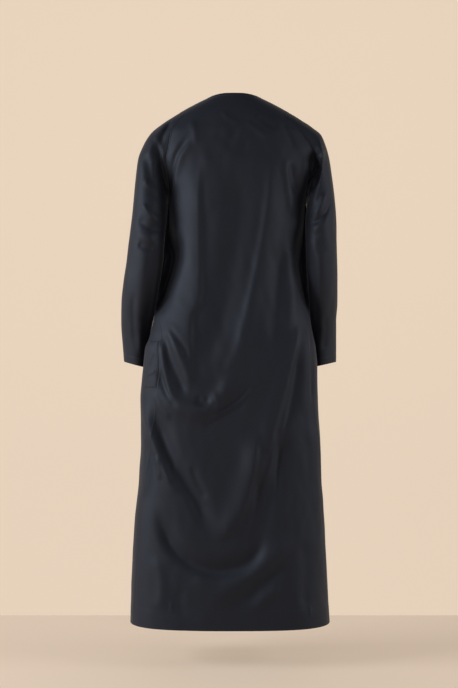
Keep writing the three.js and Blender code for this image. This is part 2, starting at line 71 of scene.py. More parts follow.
# rows above and below the underarm, then columns
BACK_MESH = (62, 210, 156)
FRONT_MESH = (50, 170, 130)
COLUMN_CROWDING = 0.012      # draws columns closer halfway between the middle and a side
SHOULDER_ROWS = 0.2          # share of the upper rows that end at the shoulder seam
ROW_GROWTH = 1.15            # above 1, the rows lie closest below the underarm

FOLD_REACH = 3               # widths at which a fold has died away
FOLD_FADE = 0.22             # share of its path over which a fold fades at each end
SIDE_FADE = (0.02, 0.4)      # shares of the depth between which folds set in at a side
TUCK_FADE = (0.1, 0.4)
SLACK = ((210, 0.9), (120, 0.6), (64, 0.32), (33, 0.16))     # wave length, height
SLACK_WAVES = 4              # waves of each length, in different directions
SLACK_SPREAD = 0.5           # radians to each side of upright
SLACK_BEND = 0.9             # how far each wave snakes
SLACK_STRETCH = 3.1          # the snaking's length, in wave lengths
SLACK_LEAST = 0.3            # share of the slack at neck and hem
SLACK_TOP = (-20.0, -130.0)  # heights between which the slack sets in
SLACK_FOOT = (HEM_Z - 30, HEM_Z + 70)
ROUND_THE_SIDE = 40.0        # shift of the slack that keeps back and front unlike
SEED = {"body": 7, "left": 11, "right": 12}

SLEEVE_RINGS = 150
SLEEVE_COLUMNS = 100
RING_CROWDING = 0.92         # below 1, the rings lie closest at the cuff
SLEEVE_SQUARE = 0.92         # below 1, the section is fuller than an ellipse
SLEEVE_SLACK = 0.8           # share of the body's slack
SLEEVE_ROWS = (0.05, 1.2)    # table rows between which folds and slack set in
JOIN_ROWS = 5.5              # table rows over which the armhole's form fades out
LEAN = -0.22                 # below 0, the back of a sleeve is fullest on its inner side
LEAN_ROWS = (6, 11)          # table rows between which the lean sets in
ROUND_FADE = (0.08, 0.6)     # shares of the depth between which a sleeve's folds set in
UNDERARM_TURN = 2.8          # where the underarm lies on the sleeve's ring, in radians
SEAM_ROLL = 0.6              # how far a sleeve's top rolls out beside its seam
SEAM_ROLL_AT, SEAM_ROLL_WIDTH = 4.0, 2.6
SEAM_ROLL_LEAST = 0.4        # share of the roll at the underarm
TOP_SHIFT = 0.1              # moves that keep a sleeve's top clear of the body
TOP_ROWS = (0, 2)            # table rows over which they fade out
UNDERARM_SHIFT = {"left": 0.8, "right": 2.0}
UNDERARM_WIDTH = 0.5         # radians
PRESS = {"left": 0.5, "right": 1.6}              # its inner side below that, towards the body
PRESS_WIDTH = 0.7
PRESS_ROWS = (2, 3.5, 5.5, 7.5)                  # table rows: sets in, whole, still whole, gone
CUFF_DEPTH = 22.0
CUFF_STEP = 0.3              # how far the doubled cuff stands out
CUFF_SOFT = 2.0              # half the height over which it steps out
CUFF_GROOVE, CUFF_GROOVE_WIDTH = 0.45, 1.8
CUFF_STITCH_INSET = 1.5

BAND_HEIGHT = 9.5
BAND_WALL = 2.2
BAND_RADIUS = 0.9
BAND_LIFT = 0.3              # clear of the panels' neck edge
BAND_END_GAP = 0.4           # clear of the placket
BAND_STITCH_RISE = 1.6
BAND_RISE = 34.0             # the band leans in to the neck by these four numbers
BAND_FLARE_X = 85.0
BAND_FLARE_Y = 0.2
BAND_CENTRE_Y = -2.0
PLACKET = {"half": 16.0, "top": -88.0, "bottom": -345.0, "top_curve": 3.0,
           "proud": 2.4, "edge_drop": 0.7, "edge_power": 6, "rows": 120, "cols": 14}
# from_seam and turn are angles about the body, in radians
POCKET = {"top": -666.0, "bottom": -792.0, "reach": 46.0, "from_seam": 0.012, "turn": 0.36,
          "proud": 1.6, "edge_drop": 0.8, "edge_width": 2.6, "wrinkles_in": (1, 9),
          "wrinkle_least": -0.3, "rows": 60, "cols": 26}
STITCH_TAPER, STITCH_SINK, STITCH_FLATNESS = 0.35, 0.25, 0.7     # of a stitch's ends and section

CUT_MAP = "cut"              # UV map with the flat coordinates
CLOTH_SHEEN = {
    "Specular IOR Level": 0.30, "Specular Tint": (0.78, 0.87, 1.0, 1.0),
    "Sheen Weight": 0.13, "Sheen Roughness": 0.38, "Sheen Tint": (0.69, 0.78, 1.0, 1.0),
}
TWILL_ANGLE = 27             # degrees
TWILL_SCALE = 330
SLUB_SCALE = 900             # thick and thin places in the yarn
SLUB_SHARE = 0.35
RIB_STRENGTH = 0.22
RIB_DEPTH = 0.00012
DYE_SCALE = 9.0
DYE_SHADES = (0.9, 1.12)     # shares of the tone
DYE_STOPS = (0.3, 0.75)
ROUGH_SPREAD = (-0.05, 0.07)
PLAIN_SHADES = (0.97, 1.03)

CAMERA = {"lens": 75.5, "sensor": 36.0, "place": (0.0139, 4.0, -0.6738), "turn": (90, 0, 180)}
FLOOR_Z = -1.55
FLOOR_END_Y = -0.66
FLOOR_REACH = 9.0
WALL_Y = -6.0
WALL_CORNERS = ((-15, -7), (-15, 8), (15, 8), (15, -7))      # x, z
WALL_COLOUR = (0.37, 0.298, 0.231)
GLOW_COLOUR = (0.80, 0.645, 0.50, 1)
FLOOR_GLOW = 0.47
WALL_GLOW = 0.825
# name, place, target, size, power, colour
LIGHTS = (
    ("key", (3.9, 1.35, 0.3), (0, 0, -0.6), (2.2, 1.8), 200, (0.90, 0.94, 1.0)),
    ("fill", (-3.9, 1.2, 0.3), (0, 0, -0.6), (2.0, 1.8), 90, (0.92, 0.95, 1.0)),
    ("front", (0.2, 4.4, 0.6), (0, -0.6, -0.5), (4.0, 1.6), 23, (1.0, 0.99, 0.98)),
)
SKY_COLOUR = (1.0, 0.97, 0.94, 1)
SKY_STRENGTH = 0.11

# ------------------------------ body tables
# z, left, right, back, front, mid, square
BODY = np.array([
    (14, 54, 55, 66, -50, 4, 2.2), (3, 76.5, 78, 71, -55, 4, 2.2),
    (-8, 99.5, 101.5, 76, -60, 4, 2.2), (-31, 142, 144.5, 88, -70, 4, 2.2),
    (-64, 191, 194, 100, -84, 3, 2.2), (-97, 218, 225, 109, -98, 2, 2.3),
    (-150, 224, 246, 118, -112, 0, 2.3), (-190, 207, 237, 122, -120, -2, 2.3),
    (-230, 190, 215, 122, -125, -5, 2.3), (-262, 182, 203, 120.5, -128, -8, 2.3),
    (-300, 184, 200, 119, -129, -12, 2.3), (-350, 190, 200, 117, -130, -16, 2.3),
    (-402, 195, 201, 115, -130, -18, 2.3), (-450, 200, 202, 112, -130, -18, 2.3),
    (-510, 207, 204, 112, -130, -12, 2.3), (-570, 216, 207, 116, -130, 2, 2.35),
    (-620, 224, 212, 121, -130, 18, 2.4), (-655, 232, 218, 125, -130, 28, 2.5),
    (-685, 245, 224, 128, -130, 33, 2.5), (-730, 250, 228, 129, -130, 32, 2.5),
    (-830, 258, 230, 128, -130, 20, 2.6), (-940, 258, 237, 127, -130, 10, 2.7),
    (-1050, 264, 241, 127, -131, 0, 2.8), (-1160, 275, 250, 129, -133, -6, 2.9),
    (-1270, 281, 256, 132, -136, -12, 3), (-1380, 285, 262, 135, -139, -18, 3),
    (-1450, 287.5, 265.5, 136.5, -141, -20, 3),
], dtype=float)

# z, share of the widest reach at which a seam runs
BACK_SEAM_LEFT = [(-31, 1), (-38, 0.93), (-55, 0.8), (-82, 0.79), (-115, 0.797),
                  (-147, 0.813), (-174, 0.865), (-200, 0.9), (-235, 0.95), (-262, 1)]
BACK_SEAM_RIGHT = [(-31, 1), (-38, 0.93), (-55, 0.8), (-85, 0.8), (-115, 0.837),
                   (-150, 0.882), (-177, 0.945), (-205, 0.955), (-235, 0.97), (-262, 1)]
FRONT_SEAM = [(-31, 1), (-38, 0.93), (-55, 0.79), (-85, 0.74), (-115, 0.72),
              (-150, 0.73), (-180, 0.77), (-215, 0.84), (-242, 0.92), (-262, 1)]
SIDE_SEAM_LEFT = [(-262, 1), (-500, 1), (-556, 0.985), (-604, 0.93), (-655, 0.86),
                  (-740, 0.81), (-790, 0.815), (-900, 0.86), (-1100, 0.93), (-1450, 0.97)]
SIDE_SEAM_RIGHT = [(-262, 1), (-510, 1), (-600, 0.98), (-700, 0.955), (-790, 0.95),
                   (-1000, 0.97), (-1450, 0.985)]

# ------------------------------ fold tables
# path in (x, z) down the sheet, height (negative is a trough), then the widths
# on the +X and the -X side of a falling path
BACK_FOLDS = [
    ([(-5, -160), (-14, -250), (-6, -364), (14, -474), (30, -600), (62, -676), (98, -772)],
     -10, 40, 34),
    ([(-104, -140), (-100, -210), (-90, -310), (-72, -419), (-47, -543), (-22, -640), (-6, -700),
      (16, -740), (44, -786)], 8, 13, 32),
    ([(-165, -400), (-156, -474), (-153, -555), (-151, -640)], 8, 22, 20),
    ([(-180, -580), (-163, -679), (-142, -771), (-118, -854), (-96, -932), (-75, -1012),
      (-54, -1090)], 7.5, 36, 9),
    ([(181, -605), (157, -676), (130, -738), (112, -800)], 6, 13, 16),
    ([(192, -640), (173, -712), (153, -760), (128, -820)], -7, 14, 13),
    ([(215, -790), (156, -835), (92, -851), (54, -832), (22, -792), (0, -738)], 10, 30, 22),
    ([(228, -842), (203, -914), (176, -978), (143, -1035), (114, -1078), (87, -1132),
      (71, -1190)], -13, 16, 24),
    ([(-62, -900), (-51, -999), (-37, -1066), (-16, -1128), (17, -1177), (60, -1203)], 11, 34, 11),
    ([(205, -1110), (182, -1200), (143, -1249), (89, -1278), (33, -1286), (-29, -1270),
      (-64, -1227), (-84, -1160)], -14, 16, 27),
    ([(-153, -1180), (-112, -1238), (-72, -1273), (-29, -1300), (11, -1335), (33, -1390)],
     7, 26, 20),
    ([(116, -104), (153, -153), (168, -198), (175, -250), (172, -310)], -5.5, 7, 10),
    ([(94, -165), (96, -260), (95, -367), (94, -500), (98, -556), (118, -606), (120, -703),
      (111, -770)], 9, 48, 11),
]
BACK_FINE = [
    # shoulder blades and neck
    ([(-62, -44), (-84, -74), (-120, -92)], -2.2, 7, 9),
    ([(-30, -72), (-58, -92), (-96, -118)], 2.2, 9, 7),
    ([(50, -96), (28, -122), (6, -160)], -1.0, 12, 12),
    ([(34, -40), (16, -62), (-16, -78)], 1.6, 7, 7),
    ([(118, -60), (106, -100), (104, -140)], 2.4, 10, 10),
    ([(-130, -70), (-150, -110), (-168, -150)], -2.6, 10, 8),
    ([(-52, -52), (-20, -80), (8, -118), (14, -160)], -2.2, 13, 12),
    ([(-86, -46), (-54, -62), (-22, -92), (-8, -128)], 2.2, 9, 12),
    ([(-66, -84), (-42, -104), (-28, -134), (-22, -170)], -1.8, 8, 9),
    ([(-136, -165), (-140, -215), (-150, -280), (-158, -330)], 5, 10, 14),
    ([(-150, -180), (-158, -225), (-172, -270)], -5, 9, 10),
    ([(108, -120), (143, -166), (158, -210), (163, -262)], 3, 8, 10),
    ([(-196, -150), (-192, -205), (-186, -255), (-178, -320), (-170, -380)], 4, 9, 16),
    ([(60, -150), (72, -230), (70, -330)], 2.5, 22, 26),
    ([(-216, -160), (-210, -205), (-204, -250), (-200, -300)], -8, 4, 5),
    # waist and right hip
    ([(-134, -390), (-118, -501), (-113, -609), (-102, -700)], -5, 20, 16),
    ([(-186, -630), (-194, -745), (-190, -880)], 4, 16, 20),
    ([(-176, -690), (-162, -790), (-146, -868), (-132, -925)], -4, 6, 14),
    ([(-207, -610), (-209, -720), (-213, -850)], -3.5, 5, 6),
    # left hip fan
    ([(178, -622), (157, -652), (135, -687), (125, -722)], -4, 9, 9),
    ([(196, -660), (190, -725), (178, -784), (158, -830)], 4.5, 8, 9),
    ([(204, -740), (192, -784), (173, -819), (148, -850)], -4, 8, 8),
    ([(216, -800), (196, -846), (170, -880)], 3.5, 9, 9),
    ([(106, -818), (84, -832), (62, -820)], -5, 9, 9),
    ([(60, -800), (40, -838), (60, -866)], 2.5, 8, 8),
    # fine crease under the seat
    ([(76, -888), (34, -857), (-10, -831), (-50, -786)], 4.2, 3.6, 3.6),
    ([(68, -876), (28, -846), (-14, -821), (-52, -776)], -4, 4.4, 4.4),
    ([(84, -902), (40, -872), (-4, -850), (-40, -820)], -1.8, 8, 8),
    # outer left of the long falling fold
    ([(242, -830), (226, -905), (206, -966), (180, -1025), (148, -1082)], 9, 13, 16),
    ([(118, -1000), (96, -1052), (74, -1096)], -4, 9, 9),
    ([(208, -975), (201, -1042)], 4, 7, 8),
    ([(176, -990), (160, -1058)], -3.5, 7, 8),
    ([(240, -900), (238, -1010), (244, -1100)], 4, 12, 12),
    # right of the middle, below the hip
    ([(-112, -905), (-100, -985), (-84, -1050)], 2.5, 8, 6),
    ([(-122, -925), (-119, -1010), (-118, -1090)], -4, 8, 10),
    ([(-68, -1010), (-63, -1090), (-48, -1165), (-24, -1235)], -6, 10, 22),
    ([(-92, -940), (-78, -1015), (-60, -1085)], -2.5, 7, 8),
    ([(-150, -892), (-125, -970), (-107, -1040), (-86, -1134), (-66, -1215)], -5, 16, 18),
    ([(-215, -880), (-222, -1010), (-230, -1150)], 5, 16, 18),
    # under the second swag
    ([(-138, -1262), (-100, -1300), (-60, -1332), (-14, -1378)], -7, 13, 17),
    ([(-128, -1322), (-90, -1352), (-52, -1388)], 4, 15, 15),
    ([(120, -1300), (70, -1335), (20, -1352)], 2.5, 20, 24),
    ([(206, -1240), (196, -1330), (200, -1400)], 3.5, 16, 18),
    ([(150, -1330), (140, -1410)], -2, 14, 16),
    ([(-190, -1200), (-196, -1300), (-190, -1400)], -3.5, 18, 18),
    # pinches at the hem tacks
    ([(170, -1366), (169, -1396)], 1.5, 4, 4), ([(-205, -1380), (-205, -1410)], 1.5, 4, 4),
]
TUCKS = [
    ([(184, -340), (166, -385), (158, -425), (166, -470), (188, -520), (206, -590)], -18, 18, 20),
    ([(-196, -350), (-184, -400), (-174, -455), (-186, -505), (-204, -570)], -18, 20, 18),
    ([(186, -270), (184, -330), (180, -385), (170, -425), (172, -455), (184, -500),
      (198, -545), (210, -580), (216, -603)], -46, 17, 17),
    ([(-204, -236), (-200, -280), (-198, -325), (-193, -385), (-184, -430),
      (-180, -460), (-192, -505), (-201, -550), (-212, -600)], -36, 13, 14),
]
FRONT_FOLDS = [
    ([(120, -300), (95, -430), (100, -600), (120, -760)], 9, 34, 26),
    ([(-80, -330), (-62, -470), (-74, -640), (-60, -790)], -8, 30, 26),
    ([(-140, -560), (-128, -700), (-110, -860), (-100, -1010)], 10, 22, 30),
    ([(176, -800), (150, -950), (120, -1070), (70, -1180)], -11, 24, 20),
    ([(-150, -1080), (-110, -1190), (-40, -1250), (40, -1270), (100, -1230)], -10, 20, 26),
    ([(30, -820), (20, -960), (36, -1120)], 8, 30, 24),
]
FRONT_FINE = [
    ([(150, -150), (120, -215), (104, -300)], -4, 10, 12),
    ([(-160, -140), (-132, -205), (-112, -300)], -4, 12, 10),
    ([(-170, -200), (-150, -260), (-140, -340)], 4, 9, 12),
    ([(166, -190), (150, -260), (146, -350)], 4, 12, 9),
    ([(60, -120), (52, -200), (60, -300)], 2.5, 18, 20),
    ([(-66, -110), (-58, -210), (-68, -310)], 2.5, 20, 18),
    ([(70, -420), (50, -540), (58, -680)], -5, 20, 16),
    ([(-30, -400), (-22, -520), (-34, -690)], 4, 20, 22),
    ([(190, -650), (160, -720), (134, -800)], 6, 10, 14),
    ([(200, -700), (172, -770), (140, -850)], -6, 10, 10),
    ([(-196, -660), (-168, -740), (-150, -820)], 5, 13, 9),
    ([(-200, -730), (-178, -800), (-150, -880)], -5, 10, 10),
    ([(0, -860), (-14, -980), (-4, -1100)], -5, 20, 20),
    ([(120, -860), (104, -960), (80, -1040)], 5, 14, 18),
    ([(-60, -860), (-52, -960), (-30, -1060)], 4, 16, 12),
    ([(-170, -900), (-158, -1000), (-140, -1080)], -5, 13, 15),
    ([(210, -1000), (200, -1150), (180, -1290)], 5, 18, 20),
    ([(-210, -1000), (-206, -1150), (-196, -1300)], 5, 20, 18),
    ([(150, -1200), (90, -1290), (20, -1330), (-50, -1330)], 6, 20, 16),
    ([(-120, -1300), (-90, -1400)], -4, 14, 16), ([(100, -1340), (96, -1420)], 3, 16, 16),
]

# outX, outZ, inX, inZ, depth, mid for each sleeve ring
SLEEVE_LEFT = np.array([
    (143, -31, 182, -262, 88, -2), (170, -48, 184, -271, 86, -2),
    (202.4, -70, 185.5, -282, 82, 1), (231, -95, 185, -295, 78, 8),
    (249.1, -126, 185, -312, 73, 16), (262.7, -162, 186, -332, 69, 24),
    (268.9, -205, 188.5, -356, 66, 30), (274.1, -258, 190.5, -385, 64, 35),
    (280.2, -320, 192.5, -418, 62, 37), (287.5, -385, 197, -456, 60, 36),
    (295, -445, 203.7, -502, 58, 29), (305.1, -502, 211.8, -548, 56, 19),
    (313.6, -560, 221.9, -598, 54, 2), (315, -614, 231, -642, 52.5, -18),
    (311.9, -669, 238.5, -692, 51.5, -37), (308, -723, 243, -740, 51, -49),
], dtype=float)
SLEEVE_RIGHT = np.array([
    (145, -31, 203, -262, 88, -2), (173, -48, 204, -271, 86, -2),
    (211.9, -72, 204.5, -282, 82, 1), (241.4, -97, 202, -295, 78, 10),
    (253, -127, 199.7, -312, 73, 18), (262.1, -163, 197.7, -332, 69, 25),
    (268.4, -206, 197.5, -356, 66, 30), (274.6, -258, 197, -385, 64, 35),
    (279.7, -320, 197.5, -420, 62, 36), (282.3, -385, 198.8, -458, 60, 33),
    (284.1, -445, 201.8, -502, 58, 24), (285.9, -502, 205.6, -548, 56, 10),
    (287.4, -560, 210.1, -598, 54, -10), (285, -614, 214.5, -642, 52.5, -28),
    (284.9, -670, 218, -693, 51.5, -44), (285, -724, 220, -738, 51, -53),
], dtype=float)
SLEEVE_BACK_LEFT = [
    ([(214, -120), (197, -182), (189, -225), (184, -262)], -8, 12, 7),
    ([(180, -62), (200, -90), (220, -122)], 4.5, 10, 8),
    ([(172, -66), (188, -98), (203, -130)], -4.5, 8, 8),
    ([(240, -150), (232, -204), (220, -250), (200, -290)], -6, 14, 12),
    ([(246, -225), (222, -252), (196, -270)], 4, 9, 9),
    ([(252, -290), (228, -322), (204, -336), (190, -338)], 6, 11, 9),
    ([(262, -330), (240, -352), (214, -362), (192, -360)], -6, 11, 12),
    ([(268, -372), (244, -384), (214, -392)], 4, 10, 12),
    ([(262, -402), (240, -412), (216, -418)], -5, 10, 10),
    ([(212, -395), (219, -470), (229, -545), (241, -615), (249, -690)], -11, 15, 14),
    ([(275, -530), (277, -608), (274, -680)], -3, 7, 9),
    ([(292, -420), (296, -520), (296, -620)], 2.5, 9, 9),
    ([(250, -600), (256, -650), (262, -705)], 3, 8, 9),
]
SLEEVE_BACK_RIGHT = [
    ([(-262, -270), (-256, -296), (-246, -318), (-225, -340), (-200, -350)], -6, 7, 8),
    ([(-246, -262), (-238, -290), (-222, -314), (-206, -326)], 5, 10, 9),
    ([(-256, -330), (-234, -354), (-208, -364)], 3.2, 11, 12),
    ([(-216, -366), (-232, -395), (-242, -436)], -3, 13, 13),
    ([(-208, -395), (-214, -470), (-220, -545), (-226, -615), (-230, -690)], -10, 14, 14),
    ([(-252, -132), (-240, -162), (-229, -190)], 4, 5, 6),
    ([(-238, -130), (-229, -175), (-219, -215), (-210, -255), (-207, -300)], 17, 9, 12),
    ([(-262, -380), (-266, -470), (-262, -560)], 2.5, 12, 12),
    ([(-250, -590), (-252, -640), (-250, -700)], -3, 9, 9),
]
SLEEVE_FRONT = [
    ([(206, -120), (206, -180), (200, -240), (197, -275)], -10, 12, 10),
    ([(238, -160), (228, -220), (212, -276)], -5, 14, 12),
    ([(262, -372), (238, -352), (206, -340)], -7, 12, 12),
    ([(270, -400), (242, -384), (212, -376)], 5, 12, 12),
    ([(268, -436), (244, -424), (216, -420)], -6, 12, 12),
    ([(270, -520), (262, -600), (258, -680)], -3, 12, 12),
]
# how far in from the pocket's back edge, height
POCKET_WRINKLES = [
    ([(10, -694), (24, -712), (30, -734)], 1.5, 4, 5), ([(34, -684), (38, -716)], -0.9, 4, 4),
    ([(6, -742), (20, -752), (36, -756)], 1.3, 4, 6),
]


# ------------------------------ functions
def column(x, y):
    """A smooth curve through points that never overshoots them."""
    order = np.argsort(x)
    x, y = np.asarray(x, float)[order], np.asarray(y, float)[order]
    d = np.diff(y) / np.diff(x)
    m = np.zeros_like(y)
    m[0], m[-1] = d[0], d[-1]
    same = d[:-1] * d[1:] > 0
    total = np.where(same, d[:-1] + d[1:], 1)
    m[1:-1] = np.where(same, 2 * d[:-1] * d[1:] / total, 0)

    def at(v):
        q = np.clip(v, x[0], x[-1])
        i = np.clip(np.searchsorted(x, q) - 1, 0, len(x) - 2)
        h = x[i + 1] - x[i]
        t = (q - x[i]) / h
        return (y[i] * (2 * t**3 - 3 * t**2 + 1) + m[i] * h * (t**3 - 2 * t**2 + t)
                + y[i + 1] * (3 * t**2 - 2 * t**3) + m[i + 1] * h * (t**3 - t**2))
    return at


LEFT, RIGHT, BACK, FRONT, MID, SQUARE = (column(BODY[:, 0], BODY[:, k]) for k in range(1, 7))
SEAM = {name: column([z for z, _ in rows], [share for _, share in rows]) for name, rows in (
    ("back_left", BACK_SEAM_LEFT), ("back_right", BACK_SEAM_RIGHT), ("front", FRONT_SEAM),
    ("side_left", SIDE_SEAM_LEFT), ("side_right", SIDE_SEAM_RIGHT))}


def smooth(low, high, v):
    """Rises softly from 0 at low to 1 at high."""
    t = np.clip((v - low) / (high - low), 0, 1)
    return t * t * (3 - 2 * t)


def bell(v, centre, width):
    """A soft hump, 1 at its centre."""
    return np.exp(-(((v - centre) / width) ** 2))


def signed(v, p):
    """A power that keeps the sign."""
    return np.sign(v) * np.abs(v) ** p


def unit(v):
    return v / np.maximum(np.linalg.norm(v, axis=-1, keepdims=True), TINY)


def run_along(path):
    """Distance from the start to each point of a path."""
    return np.concatenate([[0], np.cumsum(np.linalg.norm(np.diff(path, axis=0), axis=-1))])


def rounded_path(path, steps=5):
    """The fold's path drawn through its points as one smooth curve."""
    p = np.array(path, float)
    p = np.vstack([2 * p[0] - p[1], p, 2 * p[-1] - p[-2]])
    out = []
    for i in range(1, len(p) - 2):
        for t in np.linspace(0, 1, steps, endpoint=False):
            out.append(0.5 * (2 * p[i] + (p[i + 1] - p[i - 1]) * t
                              + (2 * p[i - 1] - 5 * p[i] + 4 * p[i + 1] - p[i + 2]) * t**2
                              + (3 * p[i] - p[i - 1] - 3 * p[i + 1] + p[i + 2]) * t**3))
    out.append(p[-2])
    return np.array(out)


def prepare(folds):
    """The fold rows with each path made smooth."""
    return [(rounded_path(path), high, plus, minus) for path, high, plus, minus in folds]


def mirrored(folds):
    """The same folds on the other side of the body."""
    return [([(-x, z) for x, z in path], high, minus, plus) for path, high, plus, minus in folds]


def fold_height(folds, x, z):
    """Height of a set of folds at points (x, z), each fading at its ends."""
    total = np.zeros_like(x)
    for path, high, plus, minus in folds:
        reach = FOLD_REACH * max(plus, minus)
        low, top = path.min(0) - reach, path.max(0) + reach
        near = np.nonzero((x > low[0]) & (x < top[0]) & (z > low[1]) & (z < top[1]))[0]
        if not len(near):
            continue
        px, pz = x[near], z[near]
        seg = np.diff(path, axis=0)
        size = np.hypot(seg[:, 0], seg[:, 1])
        run = np.concatenate([[0], np.cumsum(size)])
        best = np.full(len(near), np.inf)
        side = np.zeros(len(near))
        along = np.zeros(len(near))
        for i, (d, n) in enumerate(zip(seg, size)):
            tx, tz = d / n
            dx, dz = px - path[i, 0], pz - path[i, 1]
            t = np.clip(dx * tx + dz * tz, 0, n)
            gap = np.hypot(dx - tx * t, dz - tz * t)
            closer = gap < best
            best = np.where(closer, gap, best)
            side = np.where(closer, tx * dz - tz * dx, side)
            along = np.where(closer, (run[i] + t) / run[-1], along)
        fade = smooth(0, FOLD_FADE, along) * smooth(0, FOLD_FADE, 1 - along)
        total[near] += high * fade * bell(best, 0, np.where(side > 0, plus, minus))
    return total


BACK_ALL = prepare(BACK_FOLDS + BACK_FINE)
FRONT_ALL = prepare(FRONT_FOLDS + FRONT_FINE)
TUCK_ALL = prepare(TUCKS)


def wobble(x, z, seed):
    """Slack in the cloth too small and too loose to be called a fold."""
    rng = np.random.default_rng(seed)
    out = np.zeros_like(x)
    for scale, high in SLACK:
        for _ in range(SLACK_WAVES):
            a = rng.uniform(-SLACK_SPREAD, SLACK_SPREAD)
            phase = rng.uniform(0, 2 * math.pi, 2)
            u = x * math.cos(a) + z * math.sin(a)
            v = -x * math.sin(a) + z * math.cos(a)
            bend = SLACK_BEND * np.sin(2 * math.pi * v / (SLACK_STRETCH * scale) + phase[1])
            out += high * np.sin(2 * math.pi * u / scale + phase[0] + bend) / math.sqrt(SLACK_WAVES)
    return out


def body_points(turn, z):
    """Points of the worn body form for arrays of turn (0 is +X, a quarter the back) and height."""
    shape = turn.shape
    turn, z = turn.ravel(), z.ravel()
    c, s = np.cos(turn), np.sin(turn)
    n = SQUARE(z)
    wide = np.where(c > 0, LEFT(z), RIGHT(z))
    mid = MID(z)
    deep = np.where(s > 0, BACK(z) - mid, mid - FRONT(z))
    x = wide * signed(c, 2 / n)
    rear = signed(s, 2 / n)
    nx = signed(c, 2 - 2 / n) / wide
    ny = signed(s, 2 - 2 / n) / deep
    size = np.hypot(nx, ny)
    lift = np.where(rear > 0, fold_height(BACK_ALL, x, z), fold_height(FRONT_ALL, x, z))
    lift *= smooth(*SIDE_FADE, np.abs(rear))
    loose = SLACK_LEAST + (1 - SLACK_LEAST) * (smooth(*SLACK_TOP, z) * smooth(*SLACK_FOOT, z))
    lift += wobble(x + ROUND_THE_SIDE * rear, z, SEED["body"]) * loose
    tuck = np.where(rear > 0, smooth(*TUCK_FADE, rear) * fold_height(TUCK_ALL, x, z), 0)
    return np.stack([x + lift * nx / size, mid + deep * rear + lift * ny / size + tuck, z],
                    axis=-1).reshape(shape + (3,))


def turn_at(share, z):
    """The turn at which the section reaches this share of its widest x."""
    return np.arccos(np.clip(share, 0, 1) ** (SQUARE(z) / 2))


def neck_height(is_back, t):
    dip = np.sin(math.pi * t)
    if is_back:
        return NECK_SIDE_Z - NECK_BACK_DROP * dip**2
    return NECK_SIDE_Z - NECK_FRONT_DROP * dip**NECK_FRONT_CURVE


def panel_rows(is_back, upper, lower, cols):
    """Arrays of turn and z for a panel, from the neck edge to the hem."""
    t = np.linspace(0, 1, cols + 1)
    t = t + COLUMN_CROWDING * np.sin(4 * math.pi * t)
    left_half = t < 0.5
    turns, zs = [], []
    for k in np.linspace(0, 1, upper, endpoint=False):
        if k < SHOULDER_ROWS:
            z0, share_l, share_r = NECK_SIDE_Z + (SHOULDER_Z - NECK_SIDE_Z) * k / SHOULDER_ROWS, 1, 1
        else:
            f = (k - SHOULDER_ROWS) / (1 - SHOULDER_ROWS)
            z0 = SHOULDER_Z + (UNDERARM_Z - SHOULDER_Z) * (1 - math.cos(math.pi * f)) / 2
            share_l = SEAM["back_left" if is_back else "front"](z0)
            share_r = SEAM["back_right" if is_back else "front"](z0)
        neck = (z0 - UNDERARM_Z) / (NECK_SIDE_Z - UNDERARM_Z)
        z = z0 + neck * (neck_height(is_back, t) - NECK_SIDE_Z)
        edge = np.where(left_half, share_l * LEFT(z0), share_r * RIGHT(z0))
        x = edge * np.abs(np.cos(math.pi * t)) ** (2 / SQUARE(z))
        turn = turn_at(x / np.where(left_half, LEFT(z), RIGHT(z)), z)
        turns.append(np.where(left_half, turn, math.pi - turn))
        zs.append(z)
    way = 1 if is_back else -1
    for f in np.linspace(0, 1, lower + 1) ** ROW_GROWTH:
        z = np.full(cols + 1, UNDERARM_Z + (HEM_Z - UNDERARM_Z) * f)
        left = way * turn_at(SEAM["side_left"](z[0]), z[0])
        right = way * turn_at(SEAM["side_right"](z[0]), z[0])
        turn = left + (math.pi - right - left) * t
        drop = HEM_BACK_DROP * np.maximum(way * np.sin(turn), 0) * smooth(HEM_DROP_FROM, 1, f)
        turns.append(turn)
        zs.append(z - drop)
    return way * np.array(turns), np.array(zs)


def sheet_normals(grid, outward, closed=False):
    """Unit normals of a grid of points, rows by columns, on its outward side."""
    if closed:
        across = np.roll(grid, -1, 1) - np.roll(grid, 1, 1)
    else:
        across = np.gradient(grid, axis=1)
    n = unit(np.cross(across, np.gradient(grid, axis=0)))
    return -n if np.sum(n * outward) < 0 else n


def make_mesh(name, verts, faces, uvs=None, material=None, sharp=55):
    """A smooth-shaded mesh object, from points in mm."""
    mesh = bpy.data.meshes.new(name)
    mesh.from_pydata((np.asarray(verts) * MM).tolist(), [],
                     faces if isinstance(faces, list) else faces.tolist())
    if uvs is not None:
        layer = mesh.uv_layers.new(name=CUT_MAP)
        index = np.empty(len(mesh.loops), dtype=np.int32)
        mesh.loops.foreach_get("vertex_index", index)
        layer.data.foreach_set("uv", np.asarray(uvs)[index].astype(np.float32).ravel())
    mesh.polygons.foreach_set("use_smooth", [True] * len(mesh.polygons))
    mesh.update()
    mesh.set_sharp_from_angle(angle=math.radians(sharp))
    mesh.materials.append(material)
    obj = bpy.data.objects.new(name, mesh)
    bpy.context.scene.collection.objects.link(obj)
    return obj


def cut_coordinates(grid):
    """Flat coordinates in metres along the rows and down the columns."""
    across = np.linalg.norm(np.diff(grid, axis=1), axis=-1)
    u = np.concatenate([np.zeros((grid.shape[0], 1)), np.cumsum(across, axis=1)], axis=1)
    u -= u[:, u.shape[1] // 2][:, None]
    down = np.linalg.norm(np.diff(grid, axis=0), axis=-1)
    v = np.concatenate([np.zeros((1, grid.shape[1])), np.cumsum(down, axis=0)], axis=0)
    return np.stack([u, -v], axis=-1) * MM


